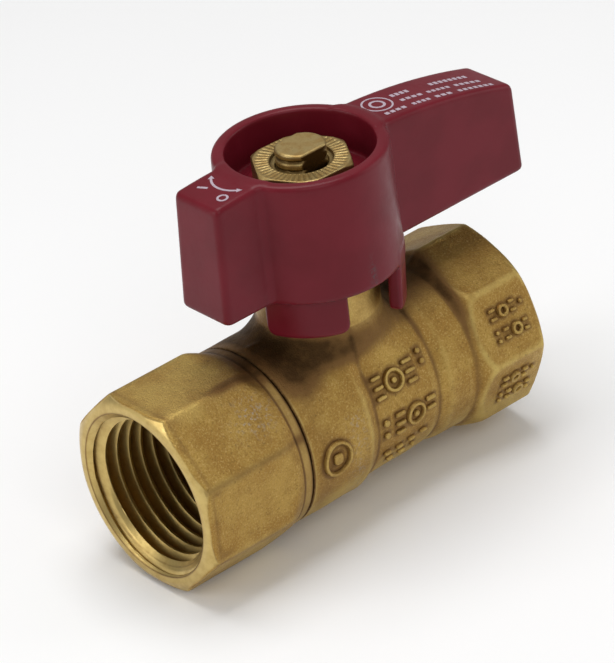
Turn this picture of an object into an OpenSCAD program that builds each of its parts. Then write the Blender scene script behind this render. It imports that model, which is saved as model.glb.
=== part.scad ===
// Quarter-turn ball valve for half-inch pipe: a forged brass body, a screwed end piece,
// a plated ball between two seats, a blow-out-proof stem and a die-cast lever handle.
// The origin is the centre of the inlet face. +X runs along the pipe to the outlet and
// +Z points up along the stem. The valve is open at rest, with the handle along the pipe.

/* [Pipe run] */
// Length from the inlet face to the outlet face
overall_len = 55.5; // [55:0.5:58]
// Distance from the inlet face to the stem axis
stem_x = 30; // [29.5:0.5:31]
// Diameter of the waterway through the ball and both ends
port_d = 11.2; // [9:0.2:11.4]

/* [Pipe threads] */
// Pitch of half-inch pipe thread, 14 threads to the inch
pitch = 1.814; // [1.8:0.001:1.82]
// Diameter over the thread crests
crest_d = 18.3; // [18:0.1:18.6]
// Depth of the grooves that mark the thread's pitch
groove_depth = 0.38; // [0.2:0.02:0.38]
// Number of thread grooves in each end
thread_turns = 5; // [4:1:6]
// Diameter of the countersink at each mouth
mouth_d = 21.7; // [21:0.1:22]

/* [Wrench ends] */
// Width across the flats of the inlet octagon
inlet_flats = 24.4; // [24:0.1:26]
// Width across the flats of the outlet octagon
outlet_flats = 23.6; // [23.4:0.1:25]
// Diameter of the flat ring on each end face
face_ring_d = 23.7; // [23:0.1:24]
// Length of the outlet octagon along the pipe
outlet_octagon_len = 10; // [9:0.5:11]

/* [Body] */
// Outer diameter of the socket that takes the end piece
socket_d = 23.8; // [23.6:0.1:25]
// Outer diameter over the ball chamber
chamber_d = 22.1; // [22:0.1:23]
// Outer diameter of the neck behind the outlet octagon
neck_d = 22.6; // [22:0.1:23]
// Diameter of the stem boss
boss_d = 15.4; // [14.6:0.1:16]
// Height of the top of the stem boss above the pipe axis
boss_top = 24.2; // [23:0.1:24.2]

/* [Ball and seats] */
// Diameter of the ball
ball_d = 17.6; // [17:0.1:18]
// Width of the stem slot in the ball
slot_w = 3.2; // [3:0.1:3.6]
// Gap between the ball and each seat
seat_gap = 0.1; // [0.05:0.05:0.2]

/* [Stem] */
// Diameter of the stem shank in the boss
shank_d = 8; // [7.6:0.1:8.2]
// Diameter of the threaded top of the stem
stem_thread_d = 6.35; // [6:0.05:6.4]
// Width across the two flats on the stem top
stem_flats = 5; // [4.6:0.1:5.4]
// Height of the stem's top face above the pipe axis
stem_top = 34.9; // [34:0.1:36]
// Radial clearance of the shank in the boss
shank_clearance = 0.05; // [0.02:0.01:0.1]

/* [Handle] */
// Outer diameter of the handle ring at its top
ring_top_d = 21.5; // [21:0.1:22]
// Outer diameter of the handle ring at its lower edge
ring_bottom_d = 22.4; // [22:0.1:23]
// Wall thickness of the handle ring
ring_wall = 1.5; // [1.2:0.1:1.8]
// Height of the ring's top edge above the pipe axis
handle_top = 34.8; // [34:0.1:36]
// Height of the ring's lower edge above the pipe axis
handle_bottom = 18.9; // [18:0.1:20]
// Width of both arms
arm_w = 8.4; // [7.5:0.1:9]
// Reach of the long arm from the stem axis
long_reach = 31.7; // [30:0.1:34]
// Reach of the short arm from the stem axis
short_reach = 17.2; // [16:0.1:18]
// Radius of the arched top of the arms
arch_r = 86; // [80:1:100]

/* [Hidden] */
$fn = 96;
over = 1;

// Threads: a bore at the crests with a shallow 60 degree groove in each turn
crest_r = crest_d / 2;
root_r = crest_r + groove_depth;
flank = groove_depth * tan(30);
root_land = 0.02;
land = pitch - 2 * flank - root_land;
mouth_r = mouth_d / 2;
countersink = mouth_r - crest_r;
thread_len = countersink + thread_turns * pitch + land;
port_r = port_d / 2;
port_start = thread_len + 1.2;

// Wrench ends: each octagon is turned down by cones at both of its ends
face_ring_r = face_ring_d / 2;
octagon_corner = 1 / cos(22.5);
chamfer_slope = tan(31);

// Joint between the body and the end piece
seam_x = stem_x - 13.3;
seam_gap = 0.12;
collar_start = seam_x - 1.6;
joint_r = 10.2;
joint_clearance = 0.05;
joint_end = stem_x - 6;
joint_pitch = 1.5;
gasket_t = 0.8;
cavity_r = 9.4;
cavity_end = stem_x + 5.5;

// Seats
seat_pocket_r = 8.45;
seat_pocket_depth = 3.2;
seat_r = seat_pocket_r - joint_clearance;
seat_bore_r = port_r + joint_clearance;
ball_r = ball_d / 2;
seat_back = stem_x - 8.7;
seat_front = stem_x - 4.4;
contact_r = 0.8 * ball_r;
contact_x = sqrt(pow(ball_r, 2) - pow(contact_r, 2));
contact_slope = contact_r / contact_x;

// Stem, from the tang in the ball's slot to the threaded top
slot_floor = 5.7;
tang_bottom = 5.9;
tang_w = 3;
tang_len = 8.4;
collar_bottom = 9.1;
collar_top = 10.58;
collar_r = 4.9;
washer_bottom = 10.6;
washer_top = 11.5;
pocket_r = 5.1;
shank_r = shank_d / 2;
shoulder_z = 24.6;
o_ring_section = 1.4;
o_ring_z = [14.2, 18.2];
o_ring_gap = 0.03;
groove_w = 1.8;
groove_r = shank_r - o_ring_section;
stem_pitch = 1.27;
stem_thread_bottom = 29.4;

// Handle
hub_top = 29.4;
pad_top = 29.9;
pad_r = 7.4;
skirt_r = 9.9;
skirt_wall = 1;
skirt_bottom = 13.6;
stop_r = 11.15;
stop_inner_r = 9.4;
stop_bottom = 12.8;
stop_half_angle = 63;
arm_wall = 1.5;
arm_roof = 2;
long_arch_start = 6;
short_arch_start = 8;

// Nut
nut_flats = 11.5;
nut_top = 33;
nut_recess_r = 3.85;
nut_recess = 0.5;

// Turns a profile whose points are [radius, distance along the pipe].
module turned_x(points) rotate([0, 90, 0]) rotate_extrude() polygon(points);

// Turns a profile whose points are [radius, height] about the stem axis.
module turned_z(points) translate([stem_x, 0, 0]) rotate_extrude() polygon(points);

// Octagonal bar along the pipe, with a corner turned by angle from the top.
module octagon_bar(flats, from_x, to_x, angle)
    translate([from_x, 0, 0])
        rotate([0, 90, 0])
            rotate([0, 0, angle])
                cylinder(h = to_x - from_x, r = flats / 2 * octagon_corner, $fn = 8);

// Profile points of a female thread that starts at its countersunk mouth.
function thread_profile() = concat(
    [[mouth_r, 0], [crest_r, countersink]],
    [for (i = [0 : thread_turns - 1], step = [
        [crest_r, land],
        [root_r, land + flank],
        [root_r, land + flank + root_land],
        [crest_r, pitch]
    ]) [step[0], countersink + i * pitch + step[1]]],
    [[crest_r, thread_len], [port_r, port_start]]
);

// Space inside a threaded end: the thread, then the waterway up to to_x.
module threaded_space(to_x)
    turned_x(concat([[0, -over], [mouth_r, -over]], thread_profile(),
                    [[port_r, to_x], [0, to_x]]));

// Wedge between two azimuths about the stem axis, for cutting rings into tabs.
module azimuth_wedge(from_a, to_a)
    rotate([0, 0, from_a])
        rotate_extrude(angle = to_a - from_a)
            square([2 * ring_top_d, 2 * handle_top]);

// Tube about the stem axis whose outer radius changes from bottom_r to top_r.
module flared_tube(bottom_z, top_z, bottom_r, top_r, inner_r)
    rotate_extrude()
        polygon([[inner_r, bottom_z], [bottom_r, bottom_z], [top_r, top_z], [inner_r, top_z]]);

module body_outside() {
    // Socket, ball chamber and neck
    turned_x([
        [0, seam_x + seam_gap], [socket_d / 2 - 0.2, seam_x + seam_gap],
        [socket_d / 2, seam_x + seam_gap + 0.2], [socket_d / 2, stem_x - 4.2],
        [chamber_d / 2, stem_x - 1.4], [chamber_d / 2, stem_x + 9.4],
        [neck_d / 2, stem_x + 10.8], [neck_d / 2, overall_len - over], [0, overall_len - over]
    ]);
    // Outlet octagon
    intersection() {
        octagon_bar(outlet_flats, stem_x + 12, overall_len, 0);
        turned_x([
            [0, stem_x + 12], [neck_d / 2 - 0.4, overall_len - outlet_octagon_len - 1.2],
            [face_ring_r + 1.2, overall_len - outlet_octagon_len + 2.6],
            [face_ring_r + 1.2, overall_len - 1.4 * chamfer_slope],
            [face_ring_r - 0.2, overall_len], [0, overall_len]
        ]);
    }
    // Stem boss with a flared foot
    turned_z([
        [0, 0], [boss_d / 2 + 1, 0], [boss_d / 2 + 1, 10.4], [boss_d / 2, 12],
        [boss_d / 2, boss_top - 0.4], [boss_d / 2 - 0.4, boss_top], [0, boss_top]
    ]);
}

module body() color("goldenrod")
    difference() {
        body_outside();
        // Socket bore and ball cavity
        turned_x([
            [0, seam_x - over], [joint_r, seam_x - over], [joint_r, joint_end + gasket_t],
            [cavity_r, joint_end + gasket_t], [cavity_r, cavity_end],
            [seat_pocket_r, cavity_end], [seat_pocket_r, 2 * stem_x - seat_back],
            [0, 2 * stem_x - seat_back]
        ]);
        // Outlet thread and waterway
        translate([overall_len, 0, 0])
            mirror([1, 0, 0])
                threaded_space(overall_len - 2 * stem_x + seat_back + over);
        // Stem bore and washer pocket
        turned_z([[0, 0], [pocket_r, 0], [pocket_r, washer_top],
                  [shank_r + shank_clearance, washer_top],
                  [shank_r + shank_clearance, boss_top + over], [0, boss_top + over]]);
    }

module end_piece() color("goldenrod")
    difference() {
        union() {
            intersection() {
                octagon_bar(inlet_flats, 0, seam_x, 22.5);
                turned_x([
                    [0, 0], [face_ring_r, 0], [face_ring_r + 1.6, 1.6 * chamfer_slope],
                    [face_ring_r + 1.6, collar_start - 3.2], [socket_d / 2, collar_start],
                    [socket_d / 2, seam_x - 0.2], [socket_d / 2 - 0.2, seam_x], [0, seam_x]
                ]);
            }
            // Joint thread, as plain rings
            turned_x(concat(
                [[0, seam_x - over], [joint_r - 0.7, seam_x - over],
                 [joint_r - 0.7, seam_x + 1]],
                [for (x = [seam_x + 1 : joint_pitch : joint_end - joint_pitch], step = [
                    [joint_r - joint_clearance, 0.5], [joint_r - joint_clearance, 1],
                    [joint_r - 0.7, 1.5]
                ]) [step[0], x + step[1]]],
                [[joint_r - 0.7, joint_end], [0, joint_end]]
            ));
        }
        threaded_space(seat_back + over);
        turned_x([[0, seat_back], [seat_pocket_r, seat_back],
                  [seat_pocket_r, joint_end + over], [0, joint_end + over]]);
    }

module body_gasket() color("white")
    turned_x([
        [cavity_r + 0.05, joint_end], [joint_r - 0.05, joint_end],
        [joint_r - 0.05, joint_end + gasket_t], [cavity_r + 0.05, joint_end + gasket_t]
    ]);

// Seat ring whose sloping face stands seat_gap off the ball.
module seat_ring()
    turned_x([
        [seat_bore_r, seat_back], [seat_r, seat_back], [seat_r, seat_front],
        [contact_r + (seat_front + seat_gap - stem_x + contact_x) / contact_slope, seat_front],
        [seat_bore_r,
         stem_x - contact_x - seat_gap - (contact_r - seat_bore_r) * contact_slope]
    ]);

module seat_ring_inlet() color("white") seat_ring();

module seat_ring_outlet() color("white")
    translate([2 * stem_x, 0, 0]) mirror([1, 0, 0]) seat_ring();

module ball() color("silver")
    difference() {
        translate([stem_x, 0, 0]) sphere(r = ball_r);
        translate([stem_x - ball_r - over, 0, 0])
            rotate([0, 90, 0])
                cylinder(h = 2 * ball_r + 2 * over, r = port_r);
        translate([stem_x - slot_w / 2, -ball_r - over, slot_floor])
            cube([slot_w, 2 * ball_r + 2 * over, ball_r]);
    }

module stem() color("goldenrod") {
    // Tang that turns the ball
    intersection() {
        translate([stem_x, 0, tang_bottom])
            cylinder(h = collar_top - tang_bottom, r = tang_len / 2);
        translate([stem_x - tang_w / 2, -tang_len, tang_bottom])
            cube([tang_w, 2 * tang_len, collar_top - tang_bottom]);
    }
    // Collar and shank with two O-ring grooves
    turned_z(concat(
        [[0, collar_bottom], [collar_r, collar_bottom], [collar_r, collar_top],
         [shank_r, collar_top]],
        [for (z = o_ring_z, step = [
            [shank_r, -groove_w / 2], [groove_r, -groove_w / 2],
            [groove_r, groove_w / 2], [shank_r, groove_w / 2]
        ]) [step[0], z + step[1]]],
        [[shank_r, shoulder_z], [0, shoulder_z]]
    ));
    // Threaded top with two flats
    intersection() {
        turned_z(concat(
            [[0, shoulder_z - over], [stem_thread_d / 2, shoulder_z - over],
             [stem_thread_d / 2, stem_thread_bottom]],
            [for (z = [stem_thread_bottom : stem_pitch : stem_top - 1.5 * stem_pitch], step = [
                [stem_thread_d / 2, 0.2], [stem_thread_d / 2 - 0.4, 0.5],
                [stem_thread_d / 2 - 0.4, 0.7], [stem_thread_d / 2, 1]
            ]) [step[0], z + step[1]]],
            [[stem_thread_d / 2, stem_top - 0.3], [stem_thread_d / 2 - 0.3, stem_top],
             [0, stem_top]]
        ));
        translate([stem_x - stem_thread_d, -stem_flats / 2, shoulder_z - over])
            cube([2 * stem_thread_d, stem_flats, stem_top]);
    }
}

module stem_thrust_washer() color("white")
    turned_z([[shank_r + 0.1, washer_bottom], [pocket_r - 0.1, washer_bottom],
              [pocket_r - 0.1, washer_top], [shank_r + 0.1, washer_top]]);

module o_ring(z)
    translate([stem_x, 0, z])
        rotate_extrude()
            translate([shank_r + shank_clearance - o_ring_gap - o_ring_section / 2, 0])
                circle(d = o_ring_section);

module stem_o_ring_lower() color("dimgray") o_ring(o_ring_z[0]);

module stem_o_ring_upper() color("dimgray") o_ring(o_ring_z[1]);

// Solid arm from the stem axis out to reach; its top is level with the ring as far as
// arch_start and arches down from there.
module arm_block(reach, arch_start, half_w, drop, from_x)
    intersection() {
        translate([from_x, -half_w, handle_bottom - drop])
            cube([reach - from_x, 2 * half_w, handle_top - handle_bottom]);
        translate([arch_start, 0, handle_top - arch_r - drop])
            rotate([90, 0, 0])
                cylinder(h = 3 * arm_w, r = arch_r, center = true, $fn = 360);
    }

// One arm, open underneath, with the ring's space cut away.
module arm(reach, arch_start)
    difference() {
        arm_block(reach, arch_start, arm_w / 2, 0, 0);
        arm_block(reach - arm_wall, arch_start, arm_w / 2 - arm_wall, arm_roof,
                  ring_bottom_d / 2 + 0.6);
        translate([0, 0, handle_bottom - over])
            cylinder(h = handle_top, r = ring_top_d / 2 - ring_wall);
    }

// Part of the skirt under the ring, between two azimuths.
module skirt_tab(from_a, to_a)
    intersection() {
        flared_tube(skirt_bottom, handle_bottom + 0.5, skirt_r, skirt_r, skirt_r - skirt_wall);
        azimuth_wedge(from_a, to_a);
    }

module handle() color("firebrick")
    translate([stem_x, 0, 0])
        difference() {
            union() {
                // Ring wall
                flared_tube(handle_bottom, handle_top, ring_bottom_d / 2, ring_top_d / 2,
                            ring_top_d / 2 - ring_wall);
                // Hub with its raised pad
                translate([0, 0, shoulder_z])
                    cylinder(h = hub_top - shoulder_z, r = ring_top_d / 2 - 0.5);
                translate([0, 0, hub_top - over])
                    cylinder(h = pad_top - hub_top + over, r = pad_r);
                // Ring wall below the hub, down to the skirt
                flared_tube(handle_bottom, shoulder_z + over, ring_bottom_d / 2 - 0.2,
                            ring_bottom_d / 2 - 0.3, skirt_r - skirt_wall);
                arm(long_reach, long_arch_start);
                rotate([0, 0, 180]) arm(short_reach, short_arch_start);
                skirt_tab(-170, -107);
                skirt_tab(107, 138);
                // Stop wall under the long arm, level with the outside of the ring
                intersection() {
                    flared_tube(stop_bottom, handle_bottom + 0.5, stop_r, stop_r, stop_inner_r);
                    azimuth_wedge(-stop_half_angle, stop_half_angle);
                }
            }
            // Hole for the stem's flats
            intersection() {
                translate([0, 0, shoulder_z - over])
                    cylinder(h = handle_top, r = stem_thread_d / 2 + 0.05);
                translate([-stem_thread_d, -stem_flats / 2 - 0.05, shoulder_z - over])
                    cube([2 * stem_thread_d, stem_flats + 0.1, handle_top]);
            }
        }

module handle_nut() color("goldenrod")
    translate([stem_x, 0, pad_top])
        difference() {
            intersection() {
                cylinder(h = nut_top - pad_top, r = nut_flats / sqrt(3), $fn = 6);
                rotate_extrude()
                    polygon([[0, 0], [6.1, 0], [6.8, 0.5], [6.8, 2], [6.35, nut_top - pad_top],
                             [0, nut_top - pad_top]]);
            }
            translate([0, 0, -over]) cylinder(h = nut_top, r = stem_thread_d / 2 + 0.03);
            translate([0, 0, nut_top - pad_top - nut_recess])
                cylinder(h = over + nut_recess, r = nut_recess_r);
        }

body();
end_piece();
body_gasket();
seat_ring_inlet();
seat_ring_outlet();
ball();
stem();
stem_thrust_washer();
stem_o_ring_lower();
stem_o_ring_upper();
handle();
handle_nut();
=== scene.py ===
"""Looks of a brass quarter-turn ball valve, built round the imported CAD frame.

Shapes are worked out in millimetres in the frame of the part: the origin is the centre of
the inlet face, +X runs along the pipe and +Z up the stem. Meshes are stored in metres.
"""

import math
from itertools import product

import bmesh
import bpy
import numpy as np
from mathutils import Matrix, Vector


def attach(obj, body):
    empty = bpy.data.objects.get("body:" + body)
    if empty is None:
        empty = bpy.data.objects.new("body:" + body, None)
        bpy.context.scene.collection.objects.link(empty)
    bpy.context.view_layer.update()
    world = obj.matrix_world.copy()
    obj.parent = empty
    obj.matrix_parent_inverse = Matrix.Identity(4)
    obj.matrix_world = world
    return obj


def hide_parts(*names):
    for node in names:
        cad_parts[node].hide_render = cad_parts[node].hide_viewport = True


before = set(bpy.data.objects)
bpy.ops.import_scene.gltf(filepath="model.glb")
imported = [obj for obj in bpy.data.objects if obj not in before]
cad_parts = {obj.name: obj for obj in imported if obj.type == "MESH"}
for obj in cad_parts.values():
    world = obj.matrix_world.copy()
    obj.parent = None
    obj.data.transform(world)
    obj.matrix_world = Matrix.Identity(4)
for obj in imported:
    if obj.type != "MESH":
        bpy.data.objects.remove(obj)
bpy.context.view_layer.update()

MM = 0.001
COARSER = 1.0

# Main dimensions, as in the CAD
LENGTH = 55.5
STEM_X = 30.0
SEAM_X = 16.7
PITCH = 1.814
CREST_R = 9.16
ROOT_R = 10.61
MOUTH_R = 10.85
COUNTERSINK = 1.7
TAPER = 1 / 32
THREAD_END = 12.2
PORT_R = 5.6
JOINT_BORE_R = 10.2
JOINT_R = 10.15
JOINT_END = STEM_X - 6.0
GASKET_THICK = 0.8
CAVITY_R = 9.4
CAVITY_END = STEM_X + 5.5
SEAT_POCKET_R = 8.45
SEAT_DEPTH = 8.7
SEAT_BACK = STEM_X - SEAT_DEPTH
WASHER_POCKET_R = 5.1
WASHER_TOP = 11.5
STEM_BORE_R = 4.05
O_RING_HEIGHTS = (14.2, 18.2)
FLOOR_Z = -12.8


# ---------------------------------------------------------------- shape functions

def blend_min(a, b, k):
    """The lower of two distances, with the crease between them rounded over about k mm."""
    near = np.maximum(k - np.abs(a - b), 0) / k
    return np.minimum(a, b) - near * near * k / 4


def blend_max(a, b, k):
    """The higher of two distances, with the edge between them rounded over about k mm."""
    return -blend_min(-a, -b, k)


def ease(t):
    """Smooth step from 0 to 1."""
    t = np.clip(t, 0, 1)
    return t * t * (3 - 2 * t)


def eased_profile(x, stations):
    """A radius that passes smoothly from one [position, radius] station to the next."""
    xs = np.array([s[0] for s in stations], float)
    rs = np.array([s[1] for s in stations], float)
    k = np.clip(np.searchsorted(xs, x) - 1, 0, len(xs) - 2)
    return rs[k] + (rs[k + 1] - rs[k]) * ease((x - xs[k]) / (xs[k + 1] - xs[k]))


def tube(along, radial, start, end, radius):
    """Distance to a solid cylinder from start to end."""
    return np.maximum(radial - radius, np.maximum(start - along, along - end))


def octagon(y, z, apothem, first):
    """Distance to an octagonal bar whose first flat faces that angle from +Y."""
    d = np.full_like(y, -1e3)
    for k in range(8):
        a = math.radians(first + 45 * k)
        d = blend_max(d, y * math.cos(a) + z * math.sin(a) - apothem, 0.35)
    return d


def helix_phase(x, y, z):
    """Position within one turn of a right-hand thread along X, from 0 to 1."""
    return np.mod(x / PITCH - np.arctan2(z, y) / (2 * math.pi), 1.0)


def pipe_thread_radius(depth, phase):
    """Radius of a tapered female thread at that depth from its mouth. Phase 0 is a crest."""
    rise = np.clip((np.minimum(phase, 1 - phase) - 0.085) / 0.385, 0, 1)
    r = CREST_R + (ROOT_R - CREST_R) * rise - (depth - COUNTERSINK) * TAPER
    lead_in = MOUTH_R - depth * (MOUTH_R - CREST_R) / COUNTERSINK
    return np.maximum(r, lead_in)


# ---------------------------------------------------------------- mesh building

def surface_net(shape, low, high, cell):
    """Vertices and quads of the surface where shape(x, y, z) is zero."""
    low = np.array(low, float)
    counts = np.ceil((np.array(high, float) - low) / cell).astype(int) + 1
    grid = np.meshgrid(*[low[k] + cell * np.arange(counts[k]) for k in range(3)], indexing="ij")
    values = shape(*grid)
    inside = values < 0
    n = counts - 1
    total = np.zeros(n, int)
    for c in product((0, 1), repeat=3):
        total += inside[c[0]:c[0] + n[0], c[1]:c[1] + n[1], c[2]:c[2] + n[2]]
    crossed = (total > 0) & (total < 8)
    cells = np.argwhere(crossed)
    index = -np.ones(n, int)
    index[crossed] = np.arange(len(cells))
    sums, hits = np.zeros((len(cells), 3)), np.zeros(len(cells))
    for k in range(3):
        step = np.eye(3, dtype=int)[k]
        for c in product((0, 1), repeat=3):
            if c[k]:
                continue
            a = cells + c
            va, vb = values[tuple(a.T)], values[tuple((a + step).T)]
            hit = (va < 0) != (vb < 0)
            t = va[hit] / (va[hit] - vb[hit])
            sums[hit] += np.array(c) + t[:, None] * step
            hits[hit] += 1
    points = low + cell * (cells + sums / hits[:, None])
    quads = []
    for k in range(3):
        u, v = (k + 1) % 3, (k + 2) % 3
        step = np.eye(3, dtype=int)
        lower = [slice(None)] * 3
        lower[k] = slice(0, n[k])
        upper = [slice(None)] * 3
        upper[k] = slice(1, n[k] + 1)
        a, b = inside[tuple(lower)], inside[tuple(upper)]
        edges = np.argwhere(a != b)
        keep = (edges[:, u] > 0) & (edges[:, v] > 0) & (edges[:, u] < n[u]) & (edges[:, v] < n[v])
        edges = edges[keep]
        solid_first = a[tuple(edges.T)]
        ring = [edges - step[u] - step[v], edges - step[v], edges, edges - step[u]]
        q = np.stack([index[tuple(r.T)] for r in ring], 1)
        q[~solid_first] = q[~solid_first][:, ::-1]
        quads.append(q)
    return settle(shape, points, cell), np.concatenate(quads)


def settle(shape, points, cell):
    """Moves points onto the surface along its gradient, a few small steps at a time."""
    h = 0.15 * cell
    for _ in range(3):
        f = shape(*points.T)
        g = np.stack([
            (shape(*(points + h * np.eye(3)[k]).T) - shape(*(points - h * np.eye(3)[k]).T)) / (2 * h)
            for k in range(3)
        ], 1)
        size = np.maximum((g * g).sum(1), 0.2)
        step = -f[:, None] * g / size[:, None]
        length = np.linalg.norm(step, axis=1, keepdims=True)
        points = points + step * np.minimum(1, 0.5 * cell / np.maximum(length, 1e-9))
    return points


def make_object(name, points, faces, material, sharp_angle=None):
    """A mesh object from points in millimetres and faces, shaded smooth."""
    mesh = bpy.data.meshes.new(name)
    mesh.from_pydata((np.asarray(points) * MM).tolist(), [], [list(map(int, f)) for f in faces])
    mesh.validate()
    mesh.materials.append(material)
    mesh.shade_smooth()
    if sharp_angle:
        mesh.set_sharp_from_angle(angle=math.radians(sharp_angle))
    piece = bpy.data.objects.new(name, mesh)
    bpy.context.scene.collection.objects.link(piece)
    return piece


def bend(shape, points, reach):
    """Curvature in 1/mm at each point of a shape: above zero on edges, below in creases."""
    x, y, z = points.T
    total = -6 * shape(x, y, z)
    for dx, dy, dz in product((-reach, 0, reach), repeat=3):
        if abs(dx) + abs(dy) + abs(dz) == reach:
            total = total + shape(x + dx, y + dy, z + dz)
    return total / reach ** 2


def paint_attribute(piece, name, values):
    """Stores one number per vertex, for the material to read."""
    layer = piece.data.attributes.new(name, "FLOAT", "POINT")
    layer.data.foreach_set("value", np.asarray(values, np.float32))


def vertex_mm(piece):
    """Vertices of a piece in millimetres, one row each."""
    co = np.zeros(len(piece.data.vertices) * 3, np.float32)
    piece.data.vertices.foreach_get("co", co)
    return co.reshape(-1, 3).astype(float) / MM


def place(piece, body, slot, *nodes):
    """Makes a piece ride on a CAD body, in place of the CAD nodes named."""
    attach(piece, body)
    if nodes:
        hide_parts(*nodes)
    return piece


def grid_faces(rows, columns):
    """Quads of a grid of points, row by row."""
    i, j = np.meshgrid(np.arange(rows - 1), np.arange(columns - 1), indexing="ij")
    a = (i * columns + j).ravel()
    return np.stack([a, a + 1, a + columns + 1, a + columns], 1)


def weld(points, faces, gap):
    """Merges points that coincide and drops the faces that this flattens."""
    key = np.round(points / gap).astype(np.int64)
    _, first, same = np.unique(key, axis=0, return_index=True, return_inverse=True)
    same = same.ravel()
    merged = []
    for f in same[faces]:
        loop = [v for k, v in enumerate(f) if v != f[k - 1]]
        if len(set(loop)) > 2 and len(set(loop)) == len(loop):
            merged.append(loop)
    return points[first], merged


def rounded_profile(corners, radius, steps):
    """A closed outline with each corner replaced by a small arc-like curve."""
    out = []
    c = np.array(corners, float)
    for k in range(len(c)):
        before, here, after = c[k - 1], c[k], c[(k + 1) % len(c)]
        lead = min(radius, 0.45 * np.linalg.norm(before - here), 0.45 * np.linalg.norm(after - here))
        p = here + lead * (before - here) / np.linalg.norm(before - here)
        q = here + lead * (after - here) / np.linalg.norm(after - here)
        for t in np.linspace(0, 1, steps):
            out.append((1 - t) ** 2 * p + 2 * t * (1 - t) * here + t * t * q)
    return np.array(out)


def turned_ring(name, corners, material, along, around=128, radius=0.12):
    """A ring turned about the X or the stem axis from the corners of its section."""
    outline = rounded_profile(corners, radius, 5)
    angles = np.linspace(0, 2 * math.pi, around, endpoint=False)
    points = []
    for r, t in outline:
        c, s = r * np.cos(angles), r * np.sin(angles)
        flat = np.full_like(angles, t)
        points.append(np.stack([flat, c, s] if along == "x" else [STEM_X + c, s, flat], 1))
    rows = len(points)
    points.append(points[0])
    points = np.concatenate([np.vstack([p, p[:1]]) for p in points])
    merged, faces = weld(points, grid_faces(rows + 1, around + 1), 1e-5)
    piece = make_object(name, merged, faces, material)
    face_outward(piece)
    return piece


def face_outward(piece):
    """Turns every face of a closed piece to look outward."""
    bm = bmesh.new()
    bm.from_mesh(piece.data)
    bmesh.ops.recalc_face_normals(bm, faces=bm.faces)
    bm.to_mesh(piece.data)
    bm.free()


# ---------------------------------------------------------------- materials

class Shader:
    """One material's node tree, with short calls for the nodes used here."""

    def __init__(self, name):
        self.material = bpy.data.materials.new(name)
        self.material.use_nodes = True
        self.tree = self.material.node_tree
        self.tree.nodes.clear()
        self.output = self.tree.nodes.new("ShaderNodeOutputMaterial")
        self.surface = self.tree.nodes.new("ShaderNodeBsdfPrincipled")
        self.tree.links.new(self.surface.outputs["BSDF"], self.output.inputs["Surface"])
        self.place = self.tree.nodes.new("ShaderNodeTexCoord").outputs["Object"]

    def feed(self, socket, value):
        """Sets a socket to a value, or links it to another socket."""
        if isinstance(value, bpy.types.NodeSocket):
            self.tree.links.new(value, socket)
        else:
            socket.default_value = value

    def noise(self, size_mm, detail=3.0, rough=0.55, stretch=(1, 1, 1)):
        """Noise whose features are about size_mm across, from 0 to 1."""
        mapping = self.tree.nodes.new("ShaderNodeMapping")
        mapping.inputs["Scale"].default_value = stretch
        self.feed(mapping.inputs["Vector"], self.place)
        node = self.tree.nodes.new("ShaderNodeTexNoise")
        self.feed(node.inputs["Vector"], mapping.outputs["Vector"])
        node.inputs["Scale"].default_value = 1 / (size_mm * MM)
        node.inputs["Detail"].default_value = detail
        node.inputs["Roughness"].default_value = rough
        return node.outputs["Fac"]

    def steps(self, value, low, high, start=0.0, end=1.0):
        """Maps low..high of a value to start..end, and holds it there outside."""
        node = self.tree.nodes.new("ShaderNodeMapRange")
        node.interpolation_type = "SMOOTHSTEP"
        self.feed(node.inputs["Value"], value)
        for key, v in (("From Min", low), ("From Max", high), ("To Min", start), ("To Max", end)):
            node.inputs[key].default_value = v
        return node.outputs["Result"]

    def maths(self, kind, a, b):
        node = self.tree.nodes.new("ShaderNodeMath")
        node.operation = kind
        self.feed(node.inputs[0], a)
        self.feed(node.inputs[1], b)
        return node.outputs[0]

    def mix(self, amount, a, b):
        """Colour a, passing to colour b as amount goes from 0 to 1."""
        node = self.tree.nodes.new("ShaderNodeMix")
        node.data_type = "RGBA"
        self.feed(node.inputs["Factor"], amount)
        self.feed(node.inputs[6], a)
        self.feed(node.inputs[7], b)
        return node.outputs[2]

    def attribute(self, name):
        node = self.tree.nodes.new("ShaderNodeAttribute")
        node.attribute_name = name
        return node.outputs["Fac"]

    def bump(self, height, depth_mm, strength=1.0, under=None):
        node = self.tree.nodes.new("ShaderNodeBump")
        node.inputs["Distance"].default_value = depth_mm * MM
        node.inputs["Strength"].default_value = strength
        self.feed(node.inputs["Height"], height)
        if under is not None:
            self.feed(node.inputs["Normal"], under)
        return node.outputs["Normal"]

    def finish(self, **sockets):
        for name, value in sockets.items():
            self.feed(self.surface.inputs[name.replace("_", " ")], value)
        return self.material


def rgba(r, g, b):
    return (r, g, b, 1.0)


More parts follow.
